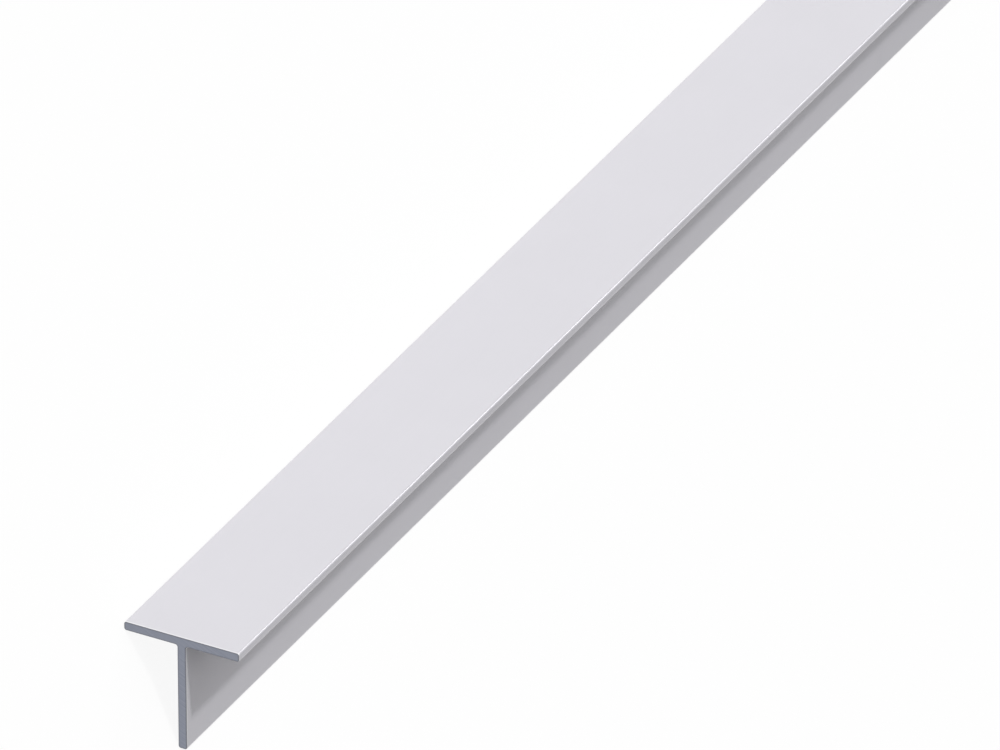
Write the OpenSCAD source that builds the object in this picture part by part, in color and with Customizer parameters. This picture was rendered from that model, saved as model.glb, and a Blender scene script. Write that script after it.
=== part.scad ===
// Extruded aluminium T-profile with equal legs, cut square at both ends.
// The bar lies along Y as it comes to rest on a level surface, on one edge of
// its flange and on the tip of its web. Millimetres, +Z up.

/* [Section] */
// Width across the flange
flange_width = 20; // [15:1:60]
// Height from the face of the flange to the tip of the web
profile_height = 20; // [15:1:60]
// Wall of the flange
flange_wall = 1.5; // [1:0.1:4]
// Wall of the web
web_wall = 1.5; // [1:0.1:4]

/* [Edges] */
// Radius on the long outer edges
edge_radius = 0.4; // [0.1:0.05:0.45]
// Radius of the two fillets between the web and the wings of the flange
root_radius = 0.4; // [0.1:0.1:3]

/* [Length] */
// Length of the bar between its saw cuts
bar_length = 1000; // [250:50:3000]

/* [Hidden] */
$fn = 64;
mill_aluminium = [0.80, 0.80, 0.82];

// The section is drawn upright: the flange on top, the web hanging from its
// middle and the web's tip at height 0.
wing_under = profile_height - flange_wall;

// Side view of the resting bar: a straight edge laid on the flange's left edge
// and on the web's tip slopes by this angle. Both edges have the same radius,
// so the slope is also that of the line through the two arc centres.
rest_tilt = atan2(wing_under, (flange_width - web_wall) / 2);

// Arc centres of the section's six outer corners
outer_x = flange_width / 2 - edge_radius;
tip_x = web_wall / 2 - edge_radius;
face_y = profile_height - edge_radius;
under_y = wing_under + edge_radius;
corner_centres = [
    [-outer_x, face_y], [outer_x, face_y],
    [-outer_x, under_y], [outer_x, under_y],
    [-tip_x, edge_radius], [tip_x, edge_radius]
];

function tilted(p) = [
    p.x * cos(rest_tilt) - p.y * sin(rest_tilt),
    p.x * sin(rest_tilt) + p.y * cos(rest_tilt)
];

// The resting section is centred over the origin and touches the ground line
rest_x = [for (c = corner_centres) tilted(c).x];
rest_y = [for (c = corner_centres) tilted(c).y];
rest_shift = [-(min(rest_x) + max(rest_x)) / 2, edge_radius - min(rest_y)];

// A rectangle with all four corners rounded, centred on x = 0
module rounded_strip(width, bottom, top, radius) {
    span = top - bottom;
    translate([-width / 2 + radius, bottom]) square([width - 2 * radius, span]);
    translate([-width / 2, bottom + radius]) square([width, span - 2 * radius]);
    for (side = [-1, 1], y = [bottom + radius, top - radius])
        translate([side * (width / 2 - radius), y]) circle(r = radius);
}

// The fillet in the corner between one side of the web and the wing above it
module root_fillet(side) {
    mirror([side < 0 ? 1 : 0, 0])
        translate([web_wall / 2, wing_under])
            difference() {
                translate([-web_wall / 4, -root_radius])
                    square([root_radius + web_wall / 4, root_radius + flange_wall / 4]);
                translate([root_radius, -root_radius]) circle(r = root_radius);
            }
}

// The section upright, before it is laid down
module section() {
    rounded_strip(flange_width, wing_under, profile_height, edge_radius);
    rounded_strip(web_wall, 0, profile_height - flange_wall / 2, edge_radius);
    for (side = [-1, 1]) root_fillet(side);
}

module t_profile() {
    color(mill_aluminium)
        rotate([90, 0, 0])
            linear_extrude(bar_length, center = true)
                translate(rest_shift) rotate(rest_tilt) section();
}

t_profile();
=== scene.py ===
"""Looks of the aluminium T-profile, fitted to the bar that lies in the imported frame.

The bar is one extrusion, so it is one piece here as well: its section is carried along the bar as a
single surface, from the middle of one sawn end to the middle of the other. The section is worked out
upright, flange on top and web hanging, and is then laid down on the edge of the flange and the tip of
the web, as the bar rests. Lengths are in metres and colours are linear.
"""

import logging
from dataclasses import dataclass, field
from enum import IntEnum
from typing import Union

import bmesh
import bpy
import numpy as np
from mathutils import Matrix, Vector


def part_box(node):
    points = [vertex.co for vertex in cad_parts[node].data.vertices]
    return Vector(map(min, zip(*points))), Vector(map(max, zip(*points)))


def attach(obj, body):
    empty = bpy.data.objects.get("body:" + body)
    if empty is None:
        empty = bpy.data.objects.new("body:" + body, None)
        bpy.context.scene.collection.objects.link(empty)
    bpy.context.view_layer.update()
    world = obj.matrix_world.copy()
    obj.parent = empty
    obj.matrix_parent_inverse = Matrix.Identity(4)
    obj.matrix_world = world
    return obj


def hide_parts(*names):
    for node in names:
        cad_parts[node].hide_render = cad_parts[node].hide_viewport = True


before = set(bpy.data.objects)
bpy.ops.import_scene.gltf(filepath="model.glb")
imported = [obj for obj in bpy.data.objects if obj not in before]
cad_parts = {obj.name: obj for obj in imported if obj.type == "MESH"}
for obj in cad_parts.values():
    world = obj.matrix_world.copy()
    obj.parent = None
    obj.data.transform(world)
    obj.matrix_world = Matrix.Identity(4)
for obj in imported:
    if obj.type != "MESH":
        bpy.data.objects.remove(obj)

MM = 0.001
IMAGE_WIDTH, IMAGE_HEIGHT = 1000, 750
NODE = "t_profile"

Colour = tuple[float, float, float, float]
Direction = tuple[float, float, float]
Value = Union[float, Colour, Direction, "Term"]

WHITE: Colour = (1.0, 1.0, 1.0, 1.0)
# Numbers of the Mix node's two colour sockets and of its colour result
MIX_FIRST, MIX_SECOND, MIX_RESULT = 6, 7, 2

log = logging.getLogger("t_profile")


class Term:
    """A shader socket that can stand in a sum, such as 1 - mask or lines * 0.5."""

    def __init__(self, bench: "Bench", socket: bpy.types.NodeSocket) -> None:
        """Keep the socket and the bench that its Math nodes go on."""
        self.bench = bench
        self.socket = socket

    def _math(self, operation: str, left: Value, right: Value) -> "Term":
        """Add the Math node for one operation on two values.

        Args:
            operation: Name of the Math node's operation.
            left: First value.
            right: Second value.

        Returns:
            The node's result.
        """
        return self.bench.add("ShaderNodeMath", {"operation": operation}, {0: left, 1: right})

    def __add__(self, other: Value) -> "Term":
        """Sum of the two."""
        return self._math("ADD", self, other)

    __radd__ = __add__

    def __mul__(self, other: Value) -> "Term":
        """Product of the two."""
        return self._math("MULTIPLY", self, other)

    __rmul__ = __mul__

    def __sub__(self, other: Value) -> "Term":
        """This less the other."""
        return self._math("SUBTRACT", self, other)

    def __rsub__(self, other: Value) -> "Term":
        """The other less this."""
        return self._math("SUBTRACT", other, self)

    def __abs__(self) -> "Term":
        """The term without its sign."""
        return self.bench.add("ShaderNodeMath", {"operation": "ABSOLUTE"}, {0: self})


class Bench:
    """The node tree of one material or world, emptied, and the one way to put nodes into it."""

    def __init__(self, tree: bpy.types.NodeTree) -> None:
        """Empty the tree and keep it."""
        self.tree = tree
        tree.nodes.clear()

    def node(self, kind: str, settings: dict[str, object] | None = None,
             inputs: dict[str | int, Value] | None = None) -> bpy.types.Node:
        """Add one node, set it up, and then fill or link its sockets.

        Args:
            kind: Blender's name of the node type.
            settings: The node's own settings, by attribute name.
            inputs: Values or terms for its sockets, by name or number.

        Returns:
            The node.
        """
        node = self.tree.nodes.new(kind)
        for name, setting in (settings or {}).items():
            setattr(node, name, setting)
        for key, value in (inputs or {}).items():
            if isinstance(value, Term):
                self.tree.links.new(value.socket, node.inputs[key])
            else:
                node.inputs[key].default_value = value
        return node

    def add(self, kind: str, settings: dict[str, object] | None = None,
            inputs: dict[str | int, Value] | None = None, output: str | int = 0) -> Term:
        """Add one node, as above, for the sake of one of its outputs.

        Args:
            kind: Blender's name of the node type.
            settings: The node's own settings, by attribute name.
            inputs: Values or terms for its sockets, by name or number.
            output: The output that is wanted, by name or number.

        Returns:
            The wanted output as a term.
        """
        return Term(self, self.node(kind, settings, inputs).outputs[output])

    def blend(self, factor: Value, first: Value, second: Value) -> Term:
        """Mix two colours.

        Args:
            factor: Share of the second colour.
            first: Colour at factor 0.
            second: Colour at factor 1.

        Returns:
            The mixed colour.
        """
        return self.add("ShaderNodeMix", {"data_type": "RGBA"},
                        {0: factor, MIX_FIRST: first, MIX_SECOND: second}, MIX_RESULT)

    def vector(self, operation: str, first: Value, second: Value, output: str = "Vector") -> Term:
        """Join two vectors by one Vector Math operation.

        Args:
            operation: Name of the Vector Math node's operation.
            first: First vector.
            second: Second vector.
            output: Output of the node, Vector or Value.

        Returns:
            The result of the operation.
        """
        return self.add("ShaderNodeVectorMath", {"operation": operation}, {0: first, 1: second}, output)

    def object_place(self) -> Term:
        """The shaded point in the piece's own coordinates, which are the row's."""
        return self.add("ShaderNodeTexCoord", output="Object")

    def seen(self) -> Term:
        """Tell the rays that look at a thing from those that only light it.

        Returns:
            One for a ray of the camera, of a mirror image or of a view through glass, else zero.
        """
        camera, glossy, through = (self.add("ShaderNodeLightPath", None, None, f"Is {ray} Ray")
                                   for ray in ("Camera", "Glossy", "Transmission"))
        return camera + glossy + through

    def finish(self, shader: Term, kind: str = "ShaderNodeOutputMaterial") -> None:
        """Link the shader to the tree's output node."""
        self.node(kind, None, {"Surface": shader})


def new_material(name: str) -> tuple[bpy.types.Material, Bench]:
    """Make an empty node material.

    Args:
        name: Name of the material.

    Returns:
        The material and the bench for its nodes.
    """
    material = bpy.data.materials.new(name)
    material.use_nodes = True
    return material, Bench(material.node_tree)


@dataclass(frozen=True)
class AnodisedSkin:
    """Satin anodised aluminium as it leaves the die, with faint lines drawn along the bar.

    Attributes:
        tint: Colour of the metal.
        cloud_tint: Colour where the anodising is a trace denser.
        bare_metal_and_highlight_tint: Colour of the deburred bare edge, made lighter than the skin as a
            painted highlight.
        metallic: Share of bare metal in the look, the rest being the clouded oxide.
        roughness: Mean roughness.
        line_width: Width of one die line.
        line_stretch: How many times longer than wide a die line is.
        line_detail: Finer noise in the die lines, in octaves.
        line_share: Share of the die lines in the change of colour, the rest being the clouds.
        line_roughness: Change of roughness from one die line to another.
        cloud_size: Size of a patch of denser anodising.
        cloud_detail: Finer noise in the patches, in octaves.
        relief: Height of the die lines.
    """

    tint: Colour = (0.720, 0.709, 0.752, 1.0)
    cloud_tint: Colour = (0.685, 0.675, 0.715, 1.0)
    bare_metal_and_highlight_tint: Colour = (0.82, 0.82, 0.85, 1.0)
    metallic: float = 0.25
    roughness: float = 0.3
    line_width: float = 0.25 * MM
    line_stretch: float = 400.0
    line_detail: float = 2.0
    line_share: float = 0.3
    line_roughness: float = 0.05
    cloud_size: float = 12 * MM
    cloud_detail: float = 3.0
    relief: float = 0.001 * MM

    def material(self) -> bpy.types.Material:
        """Build the shader: long thin noise across the section for the lines, soft noise for the clouds.

        Returns:
            The finished material.
        """
        material, bench = new_material("anodised_skin")
        place = bench.object_place()
        across = 1 / self.line_width
        drawn = bench.vector("MULTIPLY", place, (across, across / self.line_stretch, across))
        lines = bench.add("ShaderNodeTexNoise", None,
                          {"Vector": drawn, "Scale": 1.0, "Detail": self.line_detail}, "Fac")
        clouds = bench.add("ShaderNodeTexNoise", None, {
            "Vector": place, "Scale": 1 / self.cloud_size, "Detail": self.cloud_detail}, "Fac")
        rim = bench.add("ShaderNodeAttribute", {"attribute_name": "rim"}, None, "Fac")
        bump = bench.add("ShaderNodeBump", None,
                         {"Height": lines, "Strength": 1.0, "Distance": self.relief}, "Normal")
        density = clouds * (1 - self.line_share) + lines * self.line_share
        drawn_tint = bench.blend(density, self.tint, self.cloud_tint)
        # Where rim is 1, the bare band along each sawn edge takes the lighter colour, a painted highlight.
        shader = bench.add("ShaderNodeBsdfPrincipled", None, {
            "Base Color": bench.blend(rim, drawn_tint, self.bare_metal_and_highlight_tint),
            "Metallic": self.metallic,
            "Roughness": lines * self.line_roughness + (self.roughness - self.line_roughness / 2),
            "Normal": bump,
        })
        bench.finish(shader)
        return material


@dataclass(frozen=True)
class SawnEnd:
    """Bare aluminium where the saw went through, scored in shallow arcs. Its darker, blue-grey tone is
    partly the sawn metal and partly painted shade for an end that the lamps barely reach.

    Attributes:
        tint: Colour on the crests between the saw's scores, darkened partly as painted shade.
        score_tint: Colour in the scores.
        rim_tint: Colour next to the edge.
        metallic: Share of bare metal in the look, the rest being the rough surface.
        roughness: Mean roughness.
        score_width: Width of one score.
        score_roughness: Change of roughness from a score to the crest beside it.
        patch_size: Size of a patch in which the scores show or fade.
        detail: Finer noise in scores and patches, in octaves.
        blade_centre: Place of the saw blade's centre, beside the bar's end.
        relief: Depth of the scores.
    """

    # Colours darker than the skin's: the sawn metal, and painted shade for the end face.
    tint: Colour = (0.340, 0.359, 0.425, 1.0)
    score_tint: Colour = (0.242, 0.261, 0.321, 1.0)
    rim_tint: Colour = (0.21, 0.22, 0.25, 1.0)
    metallic: float = 0.8
    roughness: float = 0.5
    score_width: float = 0.3 * MM
    score_roughness: float = 0.1
    patch_size: float = 0.9 * MM
    detail: float = 1.0
    blade_centre: Direction = (-0.081, 0.0, 0.113)
    relief: float = 0.004 * MM

    def material(self) -> bpy.types.Material:
        """Build the shader: noise that changes only with the distance from the blade's centre.

        A second noise fades the first in patches: 1/2 + (score - 1/2) * 2 * patch.

        Returns:
            The finished material.
        """
        material, bench = new_material("sawn_end")
        place = bench.object_place()
        in_face = bench.vector("MULTIPLY", place, (1.0, 0.0, 1.0))
        radius = bench.vector("DISTANCE", in_face, self.blade_centre, "Value")
        arcs = bench.add("ShaderNodeTexNoise", {"noise_dimensions": "1D"},
                         {"W": radius * (1 / self.score_width), "Scale": 1.0, "Detail": self.detail}, "Fac")
        patches = bench.add("ShaderNodeTexNoise", None,
                            {"Vector": place, "Scale": 1 / self.patch_size, "Detail": self.detail}, "Fac")
        scores = (arcs - 0.5) * (patches * 2) + 0.5
        rim = bench.add("ShaderNodeAttribute", {"attribute_name": "rim"}, None, "Fac")
        bump = bench.add("ShaderNodeBump", None,
                         {"Height": scores, "Strength": 1.0, "Distance": self.relief}, "Normal")
        shader = bench.add("ShaderNodeBsdfPrincipled", None, {
            "Base Color": bench.blend(rim, bench.blend(scores, self.score_tint, self.tint), self.rim_tint),
            "Metallic": self.metallic,
            "Roughness": scores * self.score_roughness + (self.roughness - self.score_roughness / 2),
            "Normal": bump,
        })
        bench.finish(shader)
        return material


@dataclass(frozen=True)
class PaleFloor:
    """A white sweep that looks white to the camera and in reflections, and still takes a soft shadow.

    Attributes:
        albedo: Colour of the sweep under the lamps.
        own_white: Share of plain white in what the camera and reflections see.
    """

    albedo: Colour = (0.9, 0.9, 0.9, 1.0)
    own_white: float = 0.91

    def material(self) -> bpy.types.Material:
        """Build the shader: matt, mixed with plain white for rays that look at it.

        Returns:
            The finished material.
        """
        material, bench = new_material("pale_floor")
        matt = bench.add("ShaderNodeBsdfDiffuse", None, {"Color": self.albedo})
        white = bench.add("ShaderNodeEmission", None, {"Color": WHITE, "Strength": 1.0})
        share = bench.seen() * self.own_white
        bench.finish(bench.add("ShaderNodeMixShader", None, {0: share, 1: matt, 2: white}))
        material.cycles.emission_sampling = "NONE"
        return material


class Finish(IntEnum):
    """Material slots of the bar's mesh, in order."""

    SKIN = 0
    SAWN = 1


@dataclass
class TeeBar:
    """The bar: an equal-legged T section with rounded edges, carried along its length.

    Attributes:
        flange_width: Width across the flange.
        profile_height: Height from the flange's face to the web's tip.
        flange_wall: Wall of the flange.
        web_wall: Wall of the web.
        edge_radius: Radius on the long outer edges.
        root_radius: Radius of the fillets between web and flange.
        length: Length between the saw cuts.
        edge_break: Radius that deburring leaves round each sawn end.
        burnish_and_highlight_width: Width of the bare band that deburring leaves by that edge, also a
            painted highlight.
        rim_width: Width of the darker band inside the edge of a sawn end.
        guard: Distance from a rounding to the line that keeps its shading off the flat beside it.
        arc_steps: Steps in each rounding of the section.
        break_steps: Steps in the rounding at each sawn end.
        bay: Greatest length of one strip of the mesh along the bar.
        skin: Finish of the drawn surfaces.
        sawn: Finish of the two ends.
    """

    flange_width: float = 20 * MM
    profile_height: float = 20 * MM
    flange_wall: float = 1.5 * MM
    web_wall: float = 1.5 * MM
    edge_radius: float = 0.4 * MM
    root_radius: float = 0.4 * MM
    length: float = 1000 * MM
    edge_break: float = 0.08 * MM
    burnish_and_highlight_width: float = 0.20 * MM
    rim_width: float = 0.30 * MM
    guard: float = 0.06 * MM
    arc_steps: int = 10
    break_steps: int = 4
    bay: float = 50 * MM
    skin: AnodisedSkin = field(default_factory=AnodisedSkin)
    sawn: SawnEnd = field(default_factory=SawnEnd)

    @property
    def rest_tilt(self) -> float:
        """Angle in radians that lays the upright section on its flange's edge and its web's tip."""
        return float(np.arctan2(self.profile_height - self.flange_wall,
                                (self.flange_width - self.web_wall) / 2))

    def turn(self) -> np.ndarray:
        """Matrix that turns the upright section's axes, X across, Y along and Z up, to the row's."""
        cos, sin = np.cos(self.rest_tilt), np.sin(self.rest_tilt)
        return np.array([[cos, 0.0, -sin], [0.0, 1.0, 0.0], [sin, 0.0, cos]])

    def shift(self) -> np.ndarray:
        """Move after the turn: the outline's box is centred on x = 0 and stands on z = 0.

        The outline reaches one edge radius past the arc centres of its six outer corners.

        Returns:
            The move as a vector of three.
        """
        half, tip = self.flange_width / 2 - self.edge_radius, self.web_wall / 2 - self.edge_radius
        top = self.profile_height - self.edge_radius
        under = self.profile_height - self.flange_wall + self.edge_radius
        centres = np.array([[side * x, 0.0, z] for side in (-1, 1)
                            for x, z in ((half, top), (half, under), (tip, self.edge_radius))])
        laid = centres @ self.turn().T
        middle = (laid[:, 0].min() + laid[:, 0].max()) / 2
        return np.array([-middle, 0.0, self.edge_radius - laid[:, 2].min()])

    def lay_down(self, upright: np.ndarray) -> np.ndarray:
        """Take points from the upright section's axes to the row's.

        Args:
            upright: Points with their last axis X, Y, Z.

        Returns:
            The same points as the bar lies.
        """
        return upright @ self.turn().T + self.shift()

    def outline(self) -> tuple[np.ndarray, np.ndarray]:
        """The upright section's outline, anticlockwise from the web's tip.

        Between straight runs of direction a and b, each square corner P with radius r is the arc
        P + r (b - a) + r (a sin t - b cos t) for t from 0 to a quarter turn. That holds for an outer
        corner and for a fillet alike. One more point stands on the straight at each side of the arc.

        Returns:
            Points and outward unit normals, both as arrays of n by 2.
        """
        half, tip = self.flange_width / 2, self.web_wall / 2
        top, under = self.profile_height, self.profile_height - self.flange_wall
        corners = np.array([(-tip, 0), (tip, 0), (tip, under), (half, under),
                            (half, top), (-half, top), (-half, under), (-tip, under)])
        is_root = (np.abs(corners[:, 0]) == tip) & (corners[:, 1] == under)
        radius = np.where(is_root, self.root_radius, self.edge_radius)[:, None, None]
        ahead = np.roll(corners, -1, axis=0) - corners
        ahead /= np.linalg.norm(ahead, axis=1, keepdims=True)
        a, b = np.roll(ahead, 1, axis=0)[:, None, :], ahead[:, None, :]
        turn = np.linspace(0, np.pi / 2, self.arc_steps + 1)
        sin, cos = np.sin(turn)[None, :, None], np.cos(turn)[None, :, None]
        arcs = corners[:, None, :] + radius * (b - a) + radius * (a * sin - b * cos)
        tangents = a * cos + b * sin
        points = np.concatenate([arcs[:, :1] - self.guard * a, arcs, arcs[:, -1:] + self.guard * b], axis=1)
        tangents = np.concatenate([a, tangents, b], axis=1).reshape(-1, 2)
        return points.reshape(-1, 2), np.stack([tangents[:, 1], -tangents[:, 0]], axis=1)

    def stations(self) -> tuple[np.ndarray, np.ndarray]:
        """Places along the bar where the outline stands, and how far it is drawn in there.

        From each end: the rim's inner line, the rounding of the sawn edge, which is a quarter circle
        of place against draw, the line of the bare band with its painted highlight, one guard line,
        and then even bays to the middle.

        Returns:
            Place along the bar from its near end, and draw, both as arrays of the same length.
        """
        turn = np.linspace(0, np.pi / 2, self.break_steps + 1)
        band = self.edge_break + self.burnish_and_highlight_width
        place = np.concatenate([[0.0], self.edge_break * (1 - np.cos(turn)), [band, band + self.guard]])
        draw = np.concatenate([[self.rim_width], self.edge_break * (1 - np.sin(turn)), [0.0, 0.0]])
        bays = int(np.ceil(self.length / self.bay))
        along = np.linspace(0, self.length, bays + 1)[1:-1]
        return (np.concatenate([place, along, self.length - place[::-1]]),
                np.concatenate([draw, np.zeros_like(along), draw[::-1]]))

    def surface(self) -> np.ndarray:
        """The bar as a grid of two parameters: the place along it and the place round its outline.

        Each grid point is the outline's point, drawn in along its normal by the station's draw, at the
        station's place along the bar, and laid down.

        Returns:
            Points as an array of stations by outline points by 3.
        """
        points, normals = self.outline()
        place, draw = self.stations()
        section = points[None] - draw[:, None, None] * normals[None]
        along = np.broadcast_to((place - self.length / 2)[:, None], section.shape[:2])
        return self.lay_down(np.stack([section[..., 0], along, section[..., 1]], axis=-1))

    def build(self) -> bpy.types.Object:
        """Put the surface into a mesh, close both ends, and say which faces are sawn.

        At each end the sawn look takes in the rim's strip and half of the edge's rounding. The rim's
        value is 1 from the edge's rounding to the line of the bare, painted-highlight band, and 0 inside
        and beyond.

        Returns:
            The bar's object.
        """
        grid = self.surface()
        rows, columns = grid.shape[:2]
        number = np.arange(rows * columns).reshape(rows, columns)
        after = np.roll(number, -1, axis=1)
        sides = np.stack([number[:-1], number[1:], after[1:], after[:-1]], axis=-1).reshape(-1, 4)
        ends = [number[0].tolist(), number[-1, ::-1].tolist()]
        mesh = bpy.data.meshes.new("tee_bar")
        mesh.from_pydata(grid.reshape(-1, 3).tolist(), [], sides.tolist() + ends)
        sawn_rows = 1 + self.break_steps // 2
        is_sawn = np.zeros((rows - 1, columns), bool)
        is_sawn[:sawn_rows] = True
        is_sawn[-sawn_rows:] = True
        slots = np.where(is_sawn.ravel(), Finish.SAWN, Finish.SKIN).tolist() + [Finish.SAWN] * len(ends)
        mesh.polygons.foreach_set("material_index", slots)
        mesh.polygons.foreach_set("use_smooth", [True] * len(slots))
        rim = np.zeros((rows, columns))
        worked = slice(1, self.break_steps + 3)
        rim[worked] = 1.0
        rim[::-1][worked] = 1.0
        mesh.attributes.new("rim", "FLOAT", "POINT").data.foreach_set("value", rim.ravel())
        self.cut_ends(mesh)
        mesh.update()
        bar = bpy.data.objects.new("tee_bar", mesh)
        bpy.context.scene.collection.objects.link(bar)
        return bar

    @staticmethod
    def cut_ends(mesh: bpy.types.Mesh) -> None:
        """Cut both sawn ends into triangles, none of them flat between points of one straight.

        Args:
            mesh: The bar's mesh, where only the ends have more than four corners.
        """
        cut = bmesh.new()
        cut.from_mesh(mesh)
        ends = [face for face in cut.faces if len(face.verts) > 4]
        bmesh.ops.triangulate(cut, faces=ends, ngon_method="BEAUTY")
        cut.to_mesh(mesh)
        cut.free()

    def dress(self, bar: bpy.types.Object) -> None:
        """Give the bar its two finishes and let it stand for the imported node.

        Args:
            bar: The bar's object.
        """
        for material in (self.skin.material(), self.sawn.material()):
            bar.data.materials.append(material)
        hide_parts(NODE)
        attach(bar, "root")


@dataclass(frozen=True)
class Lamp:
    """A far soft lamp, even over the whole bar.

    Attributes:
        name: Name of the lamp.
        towards: Direction from the bar to the lamp.
        strength: Light on a surface that faces it, where 1 shows a colour as it is written.
        width: Width of the lamp as seen from the bar, in degrees.
        mirrored: Whether it shows in reflections, or only lights.
    """

    name: str
    towards: Direction
    strength: float
    width: float
    mirrored: bool = True

    def build(self) -> None:
        """Make the lamp and aim it; at an energy of pi, white that faces it shows as white."""
        data = bpy.data.lights.new(self.name, "SUN")
        data.energy = self.strength * np.pi
        data.angle = np.radians(self.width)
        lamp = bpy.data.objects.new(self.name, data)
        lamp.visible_glossy = self.mirrored
        lamp.rotation_euler = Vector(self.towards).to_track_quat("Z", "Y").to_euler()
        bpy.context.scene.collection.objects.link(lamp)


@dataclass
class Studio:
    """The pale floor, the even light of the room and the lamps.

    Attributes:
        floor_reach: Half the floor's width.
        floor: Finish of the floor.
        room_light: Brightness of the room all round.
        horizon: Slopes at which the white band round the horizon begins to fade and has faded.
        lamps: The lamps.
    """

    floor_reach: float = 20.0
    floor: PaleFloor = field(default_factory=PaleFloor)
    room_light: float = 0.149
    horizon: tuple[float, float] = (0.045, 0.060)
    lamps: tuple[Lamp, ...] = (
        Lamp("key", (-0.491, -0.087, 0.866), 0.438, 3.7, mirrored=False),
        Lamp("overhead", (-0.255, 0.000, 0.966), 0.424, 60.0),
        Lamp("back", (-0.386, 0.759, 0.526), 0.140, 20.0),
    )

    def build_floor(self) -> None:
        """Lay the floor under the bar."""
        corner = np.array([[-1, -1, 0], [1, -1, 0], [1, 1, 0], [-1, 1, 0]]) * self.floor_reach
        mesh = bpy.data.meshes.new("floor")
        mesh.from_pydata(corner.tolist(), [], [[0, 1, 2, 3]])
        mesh.materials.append(self.floor.material())
        floor = bpy.data.objects.new("floor", mesh)
        bpy.context.scene.collection.objects.link(floor)

    def build_room(self) -> None:
        """Light the room evenly from all round.

        What looks at it, the camera or a mirror image, sees a white band round the horizon, which
        carries on the floor's white in a view from low down. The band is a smooth step down over the
        slope of the ray.
        """
        world = bpy.data.worlds.new("room")
        world.use_nodes = True
        world.cycles.sampling_method = "NONE"
        bpy.context.scene.world = world
        bench = Bench(world.node_tree)
        ray = bench.add("ShaderNodeTexCoord", output="Generated")
        height = bench.add("ShaderNodeSeparateXYZ", None, {0: ray}, "Z")
        begins, ends = self.horizon
        band = bench.add("ShaderNodeMapRange", {"interpolation_type": "SMOOTHSTEP"},
                         {"Value": abs(height), "From Min": begins, "From Max": ends,
                          "To Min": 1.0, "To Max": 0.0})
        strength = bench.seen() * band * (1 - self.room_light) + self.room_light
        room = bench.add("ShaderNodeBackground", None, {"Color": WHITE, "Strength": strength})
        bench.finish(room, "ShaderNodeOutputWorld")

    def build(self) -> None:
        """Make the floor, the room's light and the lamps."""
        self.build_floor()
        self.build_room()
        for lamp in self.lamps:
            lamp.build()


@dataclass(frozen=True)
class LongLens:
    """The camera, placed by how the photograph shows the upright section's near left corner.

    Attributes:
        turn_deg: Turn of the view from straight along the bar, to the right.
        elevation_deg: Height of the view above the flange's face.
        roll_deg: Roll of the camera, clockwise.
        distance: Distance from the lens to the corner, along the view.
        corner_px: Pixel at which the flange's near left corner is seen.
        lens_mm: Focal length.
        sensor_mm: Width of the sensor.
        clip: Nearest and farthest distance that the camera sees.
    """

    turn_deg: float = 28.540
    elevation_deg: float = 31.690
    roll_deg: float = -0.290
    distance: float = 4.2286
    corner_px: tuple[float, float] = (124.0, 621.3)
    lens_mm: float = 1000.0
    sensor_mm: float = 36.0
    clip: tuple[float, float] = (0.1, 100.0)

    def axes(self) -> np.ndarray:
        """The camera's right, up and back axes against the upright section's.

        Returns:
            The three axes as the columns of a matrix.
        """
        turn, rise, roll = np.radians([self.turn_deg, self.elevation_deg, self.roll_deg])
        back = np.array([np.sin(turn) * np.cos(rise), -np.cos(turn) * np.cos(rise), np.sin(rise)])
        level = np.array([np.cos(turn), np.sin(turn), 0.0])
        steep = np.cross(back, level)
        right = level * np.cos(roll) + steep * np.sin(roll)
        return np.stack([right, np.cross(back, right), back], axis=1)

    def build(self, bar: TeeBar) -> None:
        """Place the camera for the bar as it lies and make it the scene's.

        Args:
            bar: The bar that the camera looks at.
        """
        data = bpy.data.cameras.new("camera")
        data.lens, data.sensor_width = self.lens_mm, self.sensor_mm
        data.clip_start, data.clip_end = self.clip
        focal_px = self.lens_mm / self.sensor_mm * IMAGE_WIDTH
        aside = (self.corner_px[0] - IMAGE_WIDTH / 2) / focal_px
        above = (IMAGE_HEIGHT / 2 - self.corner_px[1]) / focal_px
        axes = self.axes()
        corner = np.array([-bar.flange_width / 2, -bar.length / 2, bar.profile_height])
        lens = corner + self.distance * (axes @ np.array([-aside, -above, 1.0]))
        camera = bpy.data.objects.new("camera", data)
        camera.matrix_world = Matrix.LocRotScale(
            Vector(bar.lay_down(lens)), Matrix((bar.turn() @ axes).tolist()), None)
        bpy.context.scene.collection.objects.link(camera)
        bpy.context.scene.camera = camera


def set_view() -> None:
    """Show colours as they are written."""
    bpy.context.scene.view_settings.view_transform = "Standard"


def main() -> None:
    logging.basicConfig(level=logging.INFO, format="%(name)s: %(message)s")
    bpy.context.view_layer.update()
    low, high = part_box(NODE)
    bar = TeeBar(length=high.y - low.y)
    piece = bar.build()
    bar.dress(piece)
    log.info("%s: %d faces", piece.name, len(piece.data.polygons))
    studio = Studio()
    studio.build()
    log.info("studio: floor and %d lamps", len(studio.lamps))
    LongLens().build(bar)
    log.info("camera placed")
    set_view()


if __name__ == "__main__":
    main()
